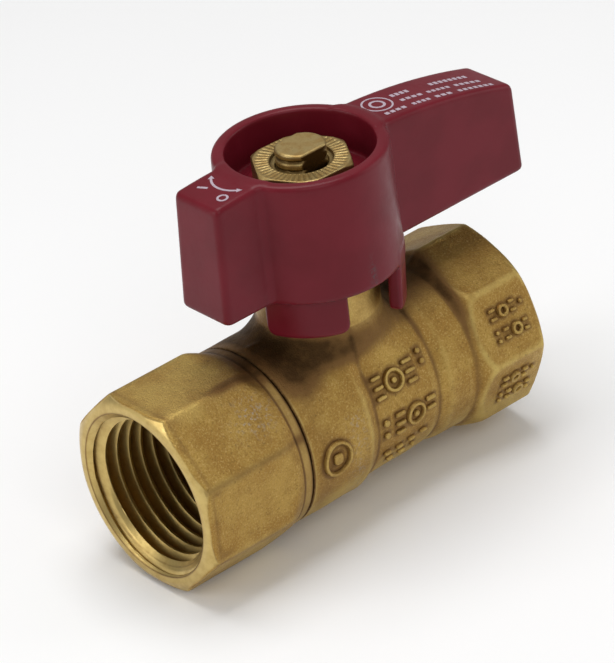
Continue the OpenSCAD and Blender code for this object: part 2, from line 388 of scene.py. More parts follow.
def brass_material(name):
    """Brass whose 'machined' attribute blends a blasted forging into bright turned faces."""
    s = Shader(name)
    machined = s.attribute("machined")
    rough_cast = s.maths("SUBTRACT", 1.0, machined)
    stain_and_shade = s.attribute("stain_and_shade")
    clouds = s.noise(5.0, 4, 0.6)
    patches = s.noise(1.6, 4, 0.65)
    grains = s.noise(0.26, 3, 0.7)
    forged = s.mix(s.steps(clouds, 0.36, 0.66), rgba(0.36, 0.208, 0.052), rgba(0.455, 0.292, 0.078))
    forged = s.mix(s.steps(patches, 0.5, 0.75, 0, 0.5), forged, rgba(0.30, 0.175, 0.052))
    # Bright specks: sandblast grain with painted glints.
    forged = s.mix(s.steps(grains, 0.52, 0.70, 0, 0.55), forged, rgba(0.64, 0.47, 0.18))
    forged = s.mix(s.steps(grains, 0.48, 0.32, 0, 0.5), forged, rgba(0.20, 0.115, 0.034))
    turned = s.mix(s.steps(patches, 0.35, 0.7), rgba(0.60, 0.445, 0.165), rgba(0.51, 0.36, 0.125))
    colour = s.mix(machined, forged, turned)
    # Bright golden mix: real edge wear with painted edge highlights, and painted light on the lower
    # surfaces, the top of the inlet piece and the tops of the raised marks.
    wear = s.maths("MULTIPLY", s.attribute("wear"), s.steps(clouds, 0.3, 0.6, 0.4, 1))
    colour = s.mix(s.maths("MULTIPLY", wear, 0.7), colour, rgba(0.62, 0.47, 0.155))
    # Painted shade with real stains: this mask darkens creases, recesses and the tops under the handle
    # towards brown and near black.
    smear = s.steps(s.noise(1.8, 4, 0.55), 0.3, 0.65, 0.84, 1)
    dirt_and_shade = s.maths("MULTIPLY", stain_and_shade, smear)
    colour = s.mix(s.steps(dirt_and_shade, 0.04, 0.6), colour, rgba(0.205, 0.112, 0.040))
    colour = s.mix(s.steps(dirt_and_shade, 0.55, 1.15), colour, rgba(0.055, 0.029, 0.012))
    scuff = s.maths("MULTIPLY", s.attribute("scuff"), s.steps(s.noise(0.5, 5, 0.75), 0.52, 0.6))
    colour = s.mix(s.maths("MULTIPLY", scuff, 0.75), colour, rgba(0.42, 0.40, 0.35))
    speckle = s.maths("MULTIPLY", s.steps(s.noise(0.5, 2, 0.5), 0.66, 0.74, 0, 0.4), rough_cast)
    colour = s.mix(speckle, colour, rgba(0.12, 0.07, 0.025))
    rough = s.steps(machined, 0, 1, 0.46, 0.33)
    rough = s.maths("ADD", rough, s.steps(patches, 0.3, 0.7, -0.04, 0.06))
    rough = s.maths("ADD", rough, s.maths("MULTIPLY", dirt_and_shade, 0.15))
    coarse = s.steps(machined, 0, 1, 1, 0.08)
    lumps = s.bump(s.maths("MULTIPLY", s.noise(0.85, 3, 0.6), coarse), 0.10, 0.6)
    grain_bump = s.bump(s.maths("MULTIPLY", s.noise(0.24, 3, 0.65), coarse), 0.10, 1.0, lumps)
    return s.finish(Base_Color=colour, Metallic=1.0, Roughness=rough, Normal=grain_bump)


def turned_brass_material(name):
    """Bright brass bar stock with fine scratches."""
    s = Shader(name)
    patches = s.noise(1.1, 4, 0.6)
    colour = s.mix(s.steps(patches, 0.35, 0.7), rgba(0.50, 0.37, 0.155), rgba(0.36, 0.235, 0.085))
    scratches = s.noise(0.22, 3, 0.6, (1, 1, 6))
    colour = s.mix(s.steps(scratches, 0.56, 0.74, 0, 0.5), colour, rgba(0.20, 0.12, 0.045))
    # Painted shade: grooves, recesses and the stem's flats darken towards near black.
    colour = s.mix(s.attribute("stain_and_shade"), colour, rgba(0.070, 0.035, 0.010))
    rough = s.steps(patches, 0.3, 0.7, 0.42, 0.54)
    return s.finish(Base_Color=colour, Metallic=1.0, Roughness=rough,
                    Normal=s.bump(scratches, 0.02, 0.6))


def paint_material(name):
    """Red semi-gloss paint over a die casting, with rubbed grey marks."""
    s = Shader(name)
    clouds = s.noise(6.0, 3, 0.5)
    colour = s.mix(s.steps(clouds, 0.35, 0.65), rgba(0.132, 0.0070, 0.0140),
                   rgba(0.152, 0.0090, 0.0175))
    rub = s.maths("MULTIPLY", s.attribute("rub"), s.steps(s.noise(0.7, 4, 0.65), 0.42, 0.58))
    colour = s.mix(s.maths("MULTIPLY", rub, 0.8), colour, rgba(0.075, 0.055, 0.06))
    rough = s.maths("ADD", s.steps(s.noise(1.2, 3, 0.6), 0.3, 0.7, 0.30, 0.38),
                    s.maths("MULTIPLY", rub, 0.2))
    peel = s.bump(s.noise(0.9, 2, 0.5), 0.022, 0.5)
    fine = s.bump(s.noise(0.22, 2, 0.5), 0.008, 0.5, peel)
    return s.finish(Base_Color=colour, Roughness=rough, Normal=fine, Specular_IOR_Level=0.2)


def print_material(name):
    """Off-white pad print that has worn thin in places."""
    s = Shader(name)
    wear = s.steps(s.noise(0.35, 4, 0.7), 0.54, 0.72, 0, 0.75)
    colour = s.mix(wear, rgba(0.46, 0.37, 0.43), rgba(0.22, 0.07, 0.10))
    return s.finish(Base_Color=colour, Roughness=0.5, Normal=s.bump(s.noise(0.2, 2), 0.01, 0.4))


def plated_material(name):
    """Polished plating with a faint haze."""
    s = Shader(name)
    haze = s.noise(1.5, 4, 0.6)
    colour = s.mix(s.steps(haze, 0.35, 0.7), rgba(0.72, 0.72, 0.74), rgba(0.62, 0.61, 0.60))
    return s.finish(Base_Color=colour, Metallic=1.0, Roughness=s.steps(haze, 0.3, 0.7, 0.06, 0.16),
                    Normal=s.bump(s.noise(0.3, 2), 0.004, 0.4))


def seat_material(name):
    """White, slightly waxy seal plastic."""
    s = Shader(name)
    colour = s.mix(s.steps(s.noise(1.4, 3), 0.35, 0.7), rgba(0.78, 0.77, 0.73), rgba(0.70, 0.69, 0.66))
    return s.finish(Base_Color=colour, Roughness=s.steps(s.noise(0.8), 0.3, 0.7, 0.38, 0.5),
                    Normal=s.bump(s.noise(0.3, 2), 0.01, 0.4), Subsurface_Weight=0.1)


def rubber_material(name):
    """Black seal rubber with a thin film of grease."""
    s = Shader(name)
    colour = s.mix(s.noise(0.8, 3), rgba(0.012, 0.012, 0.012), rgba(0.028, 0.027, 0.026))
    return s.finish(Base_Color=colour, Roughness=s.steps(s.noise(0.6), 0.3, 0.7, 0.38, 0.6),
                    Normal=s.bump(s.noise(0.2, 3), 0.012, 0.6))


def floor_material(name):
    s = Shader(name)
    colour = s.mix(s.noise(60.0, 2), rgba(0.955, 0.955, 0.955), rgba(0.97, 0.97, 0.97))
    return s.finish(Base_Color=colour, Roughness=0.85)


BRASS = brass_material("forged_brass")
TURNED = turned_brass_material("turned_brass")
PAINT = paint_material("red_paint")
PRINT = print_material("white_print")
PLATING = plated_material("ball_plating")
SEAT = seat_material("seal_plastic")
RUBBER = rubber_material("seal_rubber")


# ---------------------------------------------------------------- body forging

BODY_OUTSIDE = [
    (0, 11.9), (26.2, 11.9), (28.3, 11.18), (33, 11.12), (37.6, 11.0), (38.7, 10.84), (40.8, 11.25),
    (44.3, 11.3), (47.3, 12.75), (48.6, 13.1), (60, 13.1),
]
OUTLET_APOTHEM = 11.8
OUTLET_FACE_R = 11.75
CHAMFER_SLOPE = 0.6
BOSS_R = 7.7
BOSS_TOP = 24.2


# Raised lot marks: x and angle above -Y of the centre, half length, half height; a ring where
# the last value is missing
SIDE_MARKS = [
    (29.5, 31.5, 0.8, 0.32), (29.5, 25, 0.8, 0.32), (29.5, 18.5, 0.8, 0.32),
    (32.1, 25, 1.3), (32.1, 25, 0.45, 0.45),
    (34.8, 32, 0.85, 0.32), (34.8, 25.5, 0.85, 0.32), (34.8, 19, 0.85, 0.32),
    (37.0, 34, 0.42, 0.42), (37.0, 27, 0.42, 0.42),
    (29.4, 1, 0.5, 0.5), (29.4, -8, 0.5, 0.5), (31.7, 2.5, 0.8, 0.32), (31.7, -4, 0.8, 0.32),
    (31.7, -10.5, 0.8, 0.32), (34.3, -3.5, 1.3), (34.3, -3.5, 0.45, 0.45),
    (36.9, 1.5, 0.8, 0.32), (36.9, -5, 0.8, 0.32),
    (29.8, -24, 0.6, 0.3), (31.8, -24, 0.6, 0.3), (33.8, -23, 0.6, 0.3), (35.8, -22, 0.6, 0.3),
    (30.6, -32, 0.6, 0.3), (32.6, -32, 0.6, 0.3), (34.4, -31, 0.35, 0.35),
    (20.7, -1, 2.0), (20.7, -1, 0.75, 0.75),
]
# The same on the two lower side flats of the outlet: x, distance across, half length, half height
FLAT_MARKS = [
    (48.8, 2.2, 0.55, 0.26), (48.8, 1.05, 0.55, 0.26), (50.5, 1.6, 0.62), (52.1, 2.2, 0.5, 0.26),
    (52.1, 1.05, 0.5, 0.26), (53.5, 1.6, 0.32, 0.32),
    (48.6, -0.7, 0.32, 0.32), (48.6, -1.8, 0.32, 0.32), (50.0, -0.7, 0.5, 0.26),
    (50.0, -1.85, 0.5, 0.26), (51.7, -1.3, 0.62), (53.2, -0.75, 0.45, 0.26),
    (53.2, -1.85, 0.45, 0.26),
]
FLAT_NORMALS = (157.5, 202.5)
MARK_HEIGHT = 0.42


def body_skin(x, y, z):
    """Outside of the forging, without its bores."""
    radial = np.hypot(y, z)
    ripple = 0.035 * np.sin(0.9 * x + 1.7 * np.sin(0.5 * z)) * np.sin(0.8 * y + 0.6 * z + 0.4)
    ripple = ripple * (1 - ease((x - 41) / 4))
    skin = radial - eased_profile(x, BODY_OUTSIDE) - ripple
    flats = octagon(y, z, OUTLET_APOTHEM, 22.5)
    skin = np.where(x > 43, blend_max(skin, flats, 0.25), skin)
    chamfer = ((x - LENGTH) + (radial - OUTLET_FACE_R) * CHAMFER_SLOPE) / math.hypot(1, CHAMFER_SLOPE)
    skin = blend_max(skin, chamfer, 0.2)
    about_stem = np.hypot(x - STEM_X, y)
    flare = 0.7 * (1 - ease((z - 9.8) / 3.0))
    boss = blend_max(about_stem - BOSS_R - flare, z - BOSS_TOP, 0.5)
    boss = np.maximum(boss, -z)
    skin = blend_min(skin, boss, 2.2)
    flash = 0.17 * np.exp(-(y / 0.42) ** 2) * (0.65 + 0.35 * np.sin(2.1 * x) * np.sin(0.7 * x + 1))
    off_boss = ease((about_stem - 8.6) / 1.2)
    forged = ease((x - 17.6) / 0.8) * (1 - ease((x - 53.2) / 1.0))
    off_floor = 1 - ease((-z - 11.7) / 0.6)
    skin = skin - flash * off_boss * forged * off_floor
    skin = blend_max(skin, SEAM_X + 0.09 - x, 0.18)
    return blend_max(skin, x - LENGTH, 0.15)


def mark_gap(across, up, mark):
    """Distance in the plane from points to the outline of one mark."""
    if len(mark) == 3:
        return np.abs(np.hypot(across, up) - mark[2]) - 0.3
    dx, dy = np.abs(across) - mark[2], np.abs(up) - mark[3]
    return np.hypot(np.maximum(dx, 0), np.maximum(dy, 0)) + np.minimum(np.maximum(dx, dy), 0)


def around_marks(x, y, z):
    """1 at the raised marks, falling to 0 a little way off: painted shade and grime round the marks."""
    radial, lean = np.hypot(y, z), np.degrees(np.arctan2(z, -y))
    shade = np.zeros_like(x)
    for mark in SIDE_MARKS:
        gap = mark_gap(x - mark[0], np.radians(lean - mark[1]) * radial, mark)
        shade = np.maximum(shade, np.exp(-(np.maximum(gap, 0) / 0.42) ** 2))
    for normal_angle in FLAT_NORMALS:
        a = math.radians(normal_angle)
        along = y * math.sin(a) - z * math.cos(a)
        out = y * math.cos(a) + z * math.sin(a)
        for mark in FLAT_MARKS:
            gap = mark_gap(x - mark[0], along - mark[1], mark)
            near = np.exp(-(np.maximum(gap, 0) / 0.38) ** 2) * (out > 10.8)
            shade = np.maximum(shade, near)
    return shade


def rest_on_body(points, ways, lift):
    """Points moved along their ways onto the forging's surface, then lifted by lift."""
    for _ in range(8):
        points = points - ways * body_skin(*points.T)[:, None]
    return points + ways * lift[:, None]


def wrap_on_pipe(points, x, lean):
    """Lays a flat mark on the round side: lean is the angle in degrees above -Y."""
    a = math.radians(lean) + points[:, 1] / 11.5
    way = np.stack([np.zeros_like(a), -np.cos(a), np.sin(a)], 1)
    base = 11.5 * way + np.outer(points[:, 0] + x, [1, 0, 0])
    return rest_on_body(base, way, points[:, 2])


def lay_on_flat(points, x, along, normal_angle):
    """Lays a flat mark on a wrench flat whose normal is at that angle from +Y."""
    a = math.radians(normal_angle)
    way = np.tile([0, math.cos(a), math.sin(a)], (len(points), 1))
    base = OUTLET_APOTHEM * way + np.outer(points[:, 0] + x, [1, 0, 0])
    base = base + np.outer(points[:, 1] + along, [0, math.sin(a), -math.cos(a)])
    return rest_on_body(base, way, points[:, 2])


def body_hollow(x, y, z):
    """Bores and cavity of the forging."""
    radial = np.hypot(y, z)
    about_stem = np.hypot(x - STEM_X, y)
    bores = [(SEAM_X - 2, JOINT_END + GASKET_THICK, JOINT_BORE_R), (JOINT_END, CAVITY_END, CAVITY_R),
             (STEM_X + 5, STEM_X + SEAT_DEPTH, SEAT_POCKET_R), (STEM_X + 5, LENGTH + 1, PORT_R)]
    d = np.minimum.reduce([tube(x, radial, *bore) for bore in bores])
    depth = LENGTH - x
    thread = (radial - pipe_thread_radius(depth, helix_phase(x, y, z))) * 0.75
    run_out = np.maximum(depth - THREAD_END, 0) * 2.6
    thread = np.maximum(thread + run_out, -1 - depth)
    d = np.minimum(d, thread)
    d = np.minimum(d, tube(z, about_stem, 0, WASHER_TOP, WASHER_POCKET_R))
    return np.minimum(d, tube(z, about_stem, 0, BOSS_TOP + 1, STEM_BORE_R))


def body_shape(x, y, z):
    return blend_max(body_skin(x, y, z), -body_hollow(x, y, z), 0.12)


def build_body():
    cell = 0.27 * COARSER
    points, quads = surface_net(body_shape, (SEAM_X - 0.8, -14, -14), (LENGTH + 1, 14, BOSS_TOP + 1),
                                cell)
    body = make_object("body_forging", points, quads, BRASS, 40)
    x, y, z = vertex_mm(body).T
    radial, about_stem = np.hypot(y, z), np.hypot(x - STEM_X, y)
    machined = 0.35 * ease((z - 11.5) / 1.2) * ease((8.1 - about_stem) / 0.3)
    machined = np.maximum(machined, ease((x - LENGTH + 0.25) / 0.2))
    machined = np.maximum(machined, ease((10.9 - radial) / 0.2) * (x > 40) * (z < 11))
    paint_attribute(body, "machined", np.clip(machined, 0, 1))
    # Painted shade under the handle, with real stains, darkens the foot of the boss.
    foot = 0.95 * np.exp(-((about_stem - 8.6) / 1.7) ** 2) * ease((z - 7.6) / 3) * (z < 13)
    foot = foot * (0.45 + 0.55 * ease((STEM_X + 3 - x) / 8))
    upper = ease((z - 2) / 8)
    # Painted shade with some grime at the root of the outlet octagon, and painted shade in the creases
    # at the two steps of the barrel.
    root = np.exp(-((x - 45.2) / 0.8) ** 2) * (0.1 + 0.55 * upper)
    step = np.exp(-((x - 28.2) / 0.3) ** 2) * 0.3 + np.exp(-((x - 38.7) / 0.35) ** 2) * 0.3
    seam = np.exp(-((x - SEAM_X - 0.1) / 0.2) ** 2) * 0.9
    collar_film = 0.22 * np.exp(-((x - 19) / 2.5) ** 2)
    # Painted shade under the handle, with real stains, darkens the top of the socket.
    shoulder = 0.9 * np.exp(-((x - 20.3) / 3.0) ** 2) * ease((z - 6.5) / 4)
    crown = 0.75 * np.exp(-((y + 1) / 4.4) ** 2) * (z > 0) * ease((x - 36) / 2) * ease((49 - x) / 5)
    # Top-facing surfaces are made a little darker.
    darker_top = 0.12 * ease((z / radial - 0.55) / 0.4) * ease((54 - x) / 3)
    curve = bend(body_shape, np.stack([x, y, z], 1), 0.5) * ease((LENGTH - 0.3 - x) / 0.4)
    # Painted shade: concave creases, found from the curvature, are darkened.
    crease = np.clip((-0.12 - curve) * 0.7, 0, 0.5)
    # Painted shade and grime round the raised marks.
    marks = 0.5 * around_marks(x, y, z)
    outer = (radial > 10.3) | (z > 10.3)
    stain_and_shade = foot + root + step + seam + collar_film + shoulder + crown + darker_top + crease + marks
    paint_attribute(body, "stain_and_shade", np.clip(stain_and_shade, 0, 1) * (1 - machined) * outer)
    # Painted light: the lower surfaces are made lighter in place of light thrown up from the floor.
    # Convex edges are made brighter too, as edge wear with painted highlights.
    painted_light = 1.0 * ease((-z - 3) / 5)
    paint_attribute(body, "wear", np.clip((curve - 0.2) * 1.3 + painted_light, 0, 1) * outer)
    paint_attribute(body, "scuff", 0.5 * np.exp(-((x - 24.5) / 1.3) ** 2) * (y < 0) * (z < 4))
    return place(body, "valve_body", "brass_forged", "body")


# ---------------------------------------------------------------- end piece

END_APOTHEM = 12.2
COLLAR_R = 11.88
COLLAR_EDGE = 15.3


def end_outside(x, angle):
    """Outer radius of the end piece at each angle from +Y."""
    flat = END_APOTHEM / np.cos(np.mod(angle + math.pi / 8, math.pi / 4) - math.pi / 8)
    front = 11.5 + 1.75 * (x / 0.95) ** 0.66
    rear = blend_max(COLLAR_R + (COLLAR_EDGE - x) * 0.45, np.full_like(x, COLLAR_R), 0.12)
    r = blend_min(flat, np.full_like(flat, 13.15), 0.25)
    r = blend_min(r, front, 0.25)
    return blend_min(r, rear, 0.3)


def build_end_piece():
    around = int(384 / COARSER)
    angle = np.linspace(0, 2 * math.pi, around + 1)
    turn = angle / (2 * math.pi)
    # Rows of the thread follow its helix: 24 to the pitch, held between the mouth and its end
    phases = [0.0, 0.02, 0.04, 0.08, 0.13, 0.18, 0.23, 0.28, 0.33, 0.38, 0.43, 0.47,
              0.5, 0.53, 0.57, 0.62, 0.67, 0.72, 0.77, 0.82, 0.87, 0.92, 0.96, 0.98]
    turns = int(THREAD_END / PITCH) + 2
    rows = [(k + p) for k in range(-1, turns) for p in phases]
    xs, rs = [], []
    for inner_x, inner_r in [(JOINT_END, 8.6), (JOINT_END - 0.15, SEAT_POCKET_R),
                             (SEAT_BACK, SEAT_POCKET_R),
                             (SEAT_BACK, PORT_R + 0.1), (SEAT_BACK - 0.15, PORT_R),
                             (14.0, PORT_R), (13.6, PORT_R + 0.1), (THREAD_END + 0.25, 8.7)]:
        xs.append(np.full_like(angle, inner_x))
        rs.append(np.full_like(angle, inner_r))
    for row in reversed(rows):
        x = np.clip((row + turn) * PITCH, 0.0, THREAD_END)
        phase = np.mod(x / PITCH - turn, 1.0)
        xs.append(x)
        rs.append(pipe_thread_radius(x, phase))
    for r in (10.95, 11.15, 11.35):
        xs.append(np.zeros_like(angle))
        rs.append(np.full_like(angle, r))
    stations = np.concatenate([
        [0, 0.015, 0.04], np.arange(0.08, 1.4, 0.07), np.arange(1.4, 12.0, 0.45),
        np.arange(12.0, 16.3, 0.12), [16.4, 16.5, 16.58],
    ])
    for x in stations:
        xs.append(np.full_like(angle, x))
        rs.append(end_outside(np.full_like(angle, x), angle))
    joint = [(16.66, COLLAR_R - 0.08), (SEAM_X, COLLAR_R - 0.2), (SEAM_X, JOINT_R - 0.7),
             (SEAM_X + 1, JOINT_R - 0.7)]
    x = SEAM_X + 1
    while x < JOINT_END - 1.6:
        joint += [(x + 0.5, JOINT_R), (x + 1.0, JOINT_R), (x + 1.5, JOINT_R - 0.7)]
        x += 1.5
    joint += [(JOINT_END - 0.1, JOINT_R - 0.7), (JOINT_END, JOINT_R - 0.8), (JOINT_END, 8.6)]
    for x, r in joint:
        xs.append(np.full_like(angle, x))
        rs.append(np.full_like(angle, r))
    xs, rs = np.array(xs), np.array(rs)
    points = np.stack([xs, rs * np.cos(angle), rs * np.sin(angle)], 2).reshape(-1, 3)
    merged, faces = weld(points, grid_faces(len(xs), around + 1), 2e-4)
    piece = make_object("end_piece_octagon", merged, faces, BRASS, 38)
    face_outward(piece)
    x, y, z = vertex_mm(piece).T
    radial = np.hypot(y, z)
    inner = (radial < MOUTH_R + 0.02) & (x < 16)
    angle_of = np.arctan2(z, y)
    flat_r = END_APOTHEM / np.cos(np.mod(angle_of + math.pi / 8, math.pi / 4) - math.pi / 8)
    front_band = ease((flat_r - radial - 0.12) / 0.2) * (x < 1.6)
    machined = np.where(inner, 1.0, np.maximum(ease((0.3 - x) / 0.2), front_band))
    machined = np.maximum(machined, 0.4 * ease((x - COLLAR_EDGE) / 0.3))
    paint_attribute(piece, "machined", machined)
    # Painted shade: thread roots are darker than the crests, and the bore is darker beyond the thread.
    groove = np.where(inner & (x > 1.0), np.clip((radial - 9.3) / 1.2, 0, 1) * 0.3, 0)
    bore_shade = np.where(radial < 9.0, ease((x - 12.2) / 1.5) * 0.7, 0)
    # Painted shade in the crease at the collar edge, and a slightly darker collar beyond it.
    crease = np.exp(-((x - COLLAR_EDGE) / 0.16) ** 2) * 0.8 * (radial > 11)
    crease = crease + 0.24 * ease((x - COLLAR_EDGE) / 0.2) * (radial > 11)
    seam = np.exp(-((x - SEAM_X) / 0.2) ** 2) * 0.9
    # Painted shade: dark lines at the rim of the mouth and where the countersink meets the thread.
    lead = np.exp(-((radial - MOUTH_R) / 0.12) ** 2) * (x < 0.25) * 0.5
    lead = np.maximum(lead, np.exp(-((x - 0.95) / 0.08) ** 2) * inner * 0.35)
    top_edge = np.exp(-((np.degrees(angle_of) - 111) / 4.0) ** 2) * ease((x - 5) / 6) * 0.85
    side_edge = np.exp(-((np.degrees(angle_of) - 157.5) / 3.0) ** 2) * 0.35
    rim_edge = np.exp(-((x - 1.2) / 0.4) ** 2) * 0.3 * (radial > 12)
    nicks = np.zeros_like(x)
    for centre, spread, depth in ((199, 3.0, 0.4), (204.5, 2.5, 0.5), (160, 2.5, 0.4), (115, 3, 0.3)):
        turn = np.mod(np.degrees(angle_of), 360) - centre
        nicks = np.maximum(nicks, depth * np.exp(-(turn / spread) ** 2 - ((x - 1.8) / 1.5) ** 2))
    # The top is made a little darker.
    darker_top = 0.05 * ease((z - 10.5) / 1.2)
    top_rear = darker_top + 0.55 * np.exp(-((x - 15.5) / 2.2) ** 2) * ease((z - 9.5) / 2)
    outside = (radial > 11.4) & (x > 0.5) & (x < SEAM_X)
    wear = np.where(outside, np.maximum.reduce([top_edge, side_edge, rim_edge, top_rear, nicks]), 0)
    paint_attribute(piece, "stain_and_shade", np.clip(groove + bore_shade + crease + seam + lead + wear, 0, 1))
    rub = np.exp(-((x - 11.5) / 2.6) ** 2 - ((np.degrees(angle_of) - 133) / 9.5) ** 2)
    paint_attribute(piece, "scuff", rub)
    corner = np.exp(-((np.mod(np.degrees(angle_of) + 22.5 + 22.5, 45) - 22.5) / 2.2) ** 2)
    # Painted light: the lower surfaces are made lighter in place of light from the floor, and the top
    # near the front is made lighter in place of light from above.
    painted_light = 1.0 * ease((-z - 5) / 5) + 0.35 * ease((z - 10.5) / 1.2) * ease((13.5 - x) / 2)
    worn = np.clip(0.5 * corner * ease((14.5 - x) / 1.5) + painted_light, 0, 1)
    paint_attribute(piece, "wear", worn * outside)
    return place(piece, "valve_body", "brass_forged", "end_piece")


# ---------------------------------------------------------------- handle

HANDLE_TOP = 34.8
HANDLE_BOTTOM = 18.9
RING_TOP_R = 10.75
RING_BOTTOM_R = 11.2
RING_INSIDE_R = 9.15
HUB_TOP = 29.4
HUB_BOTTOM = 24.6
SKIRT_R = 9.9
SKIRT_INSIDE_R = 8.9
SKIRT_BOTTOM = 13.6
ARCH_R = 86.0
ARM_TOP = 34.8
ARM_HALF_WIDTH = 3.95
ARM_WALL = 1.25
ARM_ROOF = 2.0
LONG_REACH = 31.35
SHORT_REACH = 16.72
PAD_R = 7.4
PAD_TOP = 29.9
STOP_R = 11.15
STOP_WALL = 1.75
STOP_DRAFT = 0.05
STOP_HALF_ANGLE = 62
STOP_BOTTOM = 12.75


def arm_top(u):
    """Height of the arched top at distance u from the stem axis."""
    reach = np.clip(np.where(u > 0, u - 6, -u - 8), 0, 60)
    return ARM_TOP - ARCH_R + np.sqrt(ARCH_R ** 2 - reach ** 2)


def angular_gap(angle, centre, half):
    """How far an angle in degrees lies outside centre plus or minus half."""
    return np.abs(np.mod(angle - centre + 180, 360) - 180) - half


def handle_shape(x, y, z):
    u = x - STEM_X
    radial = np.hypot(u, y)
    slope = (RING_BOTTOM_R - RING_TOP_R) / (HANDLE_TOP - HANDLE_BOTTOM)
    ring_r = RING_TOP_R + (HANDLE_TOP - z) * slope
    floor = HANDLE_BOTTOM - z
    ring = blend_max(radial - ring_r, z - HANDLE_TOP, 0.7)
    half_width = ARM_HALF_WIDTH + (HANDLE_TOP - z) * 0.022
    sides = np.abs(y) - half_width
    long_end = u - (LONG_REACH + (30 - z) * 0.04)
    short_end = -u - (SHORT_REACH + (34 - z) * 0.046)
    arms = blend_max(sides, z - arm_top(u), 0.75)
    arms = blend_max(arms, blend_max(long_end, short_end, 0.1), 0.9)
    shell = blend_min(ring, arms, 0.7)
    shell = blend_max(shell, floor, 0.8)
    # Skirt tabs and the stop wall below the ring
    angle = np.degrees(np.arctan2(y, u))
    tab = np.minimum(angular_gap(angle, -138.5, 31.5), angular_gap(angle, 122.5, 15.5))
    tab = blend_max(np.radians(tab) * radial, SKIRT_BOTTOM - z, 1.3)
    tab = blend_max(tab, radial - SKIRT_R, 0.5)
    tab = np.maximum(tab, z - (HANDLE_BOTTOM + 2))
    stop_r = STOP_R - STOP_DRAFT * np.clip(HANDLE_BOTTOM - z, 0, 7)
    stop = np.radians(angular_gap(angle, 0, STOP_HALF_ANGLE)) * radial
    stop = blend_max(stop, STOP_BOTTOM - z, 0.8)
    stop = blend_max(stop, blend_max(radial - stop_r, stop_r - STOP_WALL - radial, 0.4), 0.5)
    stop = np.maximum(stop, z - (HANDLE_BOTTOM + 2))
    shell = blend_min(shell, np.minimum(tab, stop), 0.35)
    # Space above and below the hub
    above = blend_max(radial - RING_INSIDE_R, HUB_TOP - z, 0.5)
    below = blend_max(radial - SKIRT_INSIDE_R, z - HUB_BOTTOM, 0.6)
    shell = blend_max(shell, -above, 0.45)
    shell = blend_max(shell, -below, 0.3)
    shell = blend_min(shell, tube(z, radial, HUB_BOTTOM, PAD_TOP, PAD_R), 0.35)
    # Arms are hollow from below
    wall_end = np.where(u > 0, u - (LONG_REACH - ARM_WALL), -u - 15.6)
    core = np.maximum(np.abs(y) - (ARM_HALF_WIDTH - ARM_WALL), z - arm_top(u) + ARM_ROOF)
    core = np.maximum(np.maximum(core, wall_end), 11.9 - np.abs(u))
    shell = blend_max(shell, -core, 0.4)
    # Hole for the stem's two flats
    hole = np.maximum(radial - 3.22, np.abs(y) - 2.55)
    return np.maximum(shell, -hole)


def build_handle():
    points, quads = surface_net(handle_shape, (STEM_X - 18.5, -12.4, 11.6), (STEM_X + 33, 12.4, 36),
                                0.235 * COARSER)
    handle = make_object("lever_handle", points, quads, PAINT, 45)
    x, y, z = vertex_mm(handle).T
    u = x - STEM_X
    angle = np.degrees(np.arctan2(y, u))
    scuff = np.exp(-((angle + 90) / 2.4) ** 2 - ((z - 20.6) / 2.1) ** 2) * (np.hypot(u, y) > 10.5)
    lower_edge = 0.5 * np.exp(-((z - HANDLE_BOTTOM) / 0.4) ** 2)
    tip = 0.12 * ease((u - 30.9) / 0.5)
    paint_attribute(handle, "rub", np.clip(scuff + lower_edge + tip, 0, 1))
    return place(handle, "operator", "handle_paint", "handle")


# ---------------------------------------------------------------- nut and stem

NUT_BOTTOM = 29.9
NUT_TOP = 33.0
NUT_HALF_FLATS = 5.8
TEETH = 48
DISH_R = 3.85
DISH_DEPTH = 0.5


def tooth_groove(radial, angle):
    """1 in the bottom of the radial grooves between the nut's teeth."""
    saw = np.abs(np.mod(angle * TEETH / (2 * math.pi), 1.0) - 0.5) * 2
    annulus = ease((radial - 3.9) / 0.3) * (1 - ease((radial - 5.4) / 0.4))
    return np.clip((saw - 0.4) / 0.6, 0, 1) * annulus


def nut_shape(x, y, z):
    u = x - STEM_X
    radial, angle = np.hypot(u, y), np.arctan2(y, u)
    d = np.full_like(u, -1e3)
    for k in range(6):
        a = math.radians(28 + 60 * k)
        d = blend_max(d, u * math.cos(a) + y * math.sin(a) - NUT_HALF_FLATS, 0.15)
    d = blend_max(d, radial - 6.65, 0.2)
    crown = ((z - NUT_TOP) + np.maximum(radial - 6.0, 0) * 0.55) / 1.1
    crown = crown + 0.08 * tooth_groove(radial, angle)
    d = blend_max(d, crown, 0.15)
    d = blend_max(d, NUT_BOTTOM - z, 0.2)
    dish = blend_max(radial - DISH_R, (NUT_TOP - DISH_DEPTH) - z, 0.2)
    d = blend_max(d, -dish, 0.2)
    return blend_max(d, 3.22 - radial, 0.25)


def build_nut():
    points, quads = surface_net(nut_shape, (STEM_X - 7.2, -7.2, NUT_BOTTOM - 0.4),
                                (STEM_X + 7.2, 7.2, NUT_TOP + 0.4), 0.105 * COARSER)
    nut = make_object("serrated_nut", points, quads, TURNED, 50)
    x, y, z = vertex_mm(nut).T
    radial = np.hypot(x - STEM_X, y)
    # Painted shade: the grooves between the teeth and the inner corner of the dish are darkened.
    groove = tooth_groove(radial, np.arctan2(y, x - STEM_X)) * (z > NUT_TOP - 0.4)
    rim = np.exp(-((radial - 3.7) / 0.25) ** 2)
    paint_attribute(nut, "stain_and_shade", np.clip(0.08 + 0.3 * groove + 0.5 * rim, 0, 1))
    return place(nut, "operator", "brass_turned", "handle_nut")


STEM_TOP = 34.9
STEM_R = 3.16
STEM_PITCH = 1.27
SHANK_R = 4.0


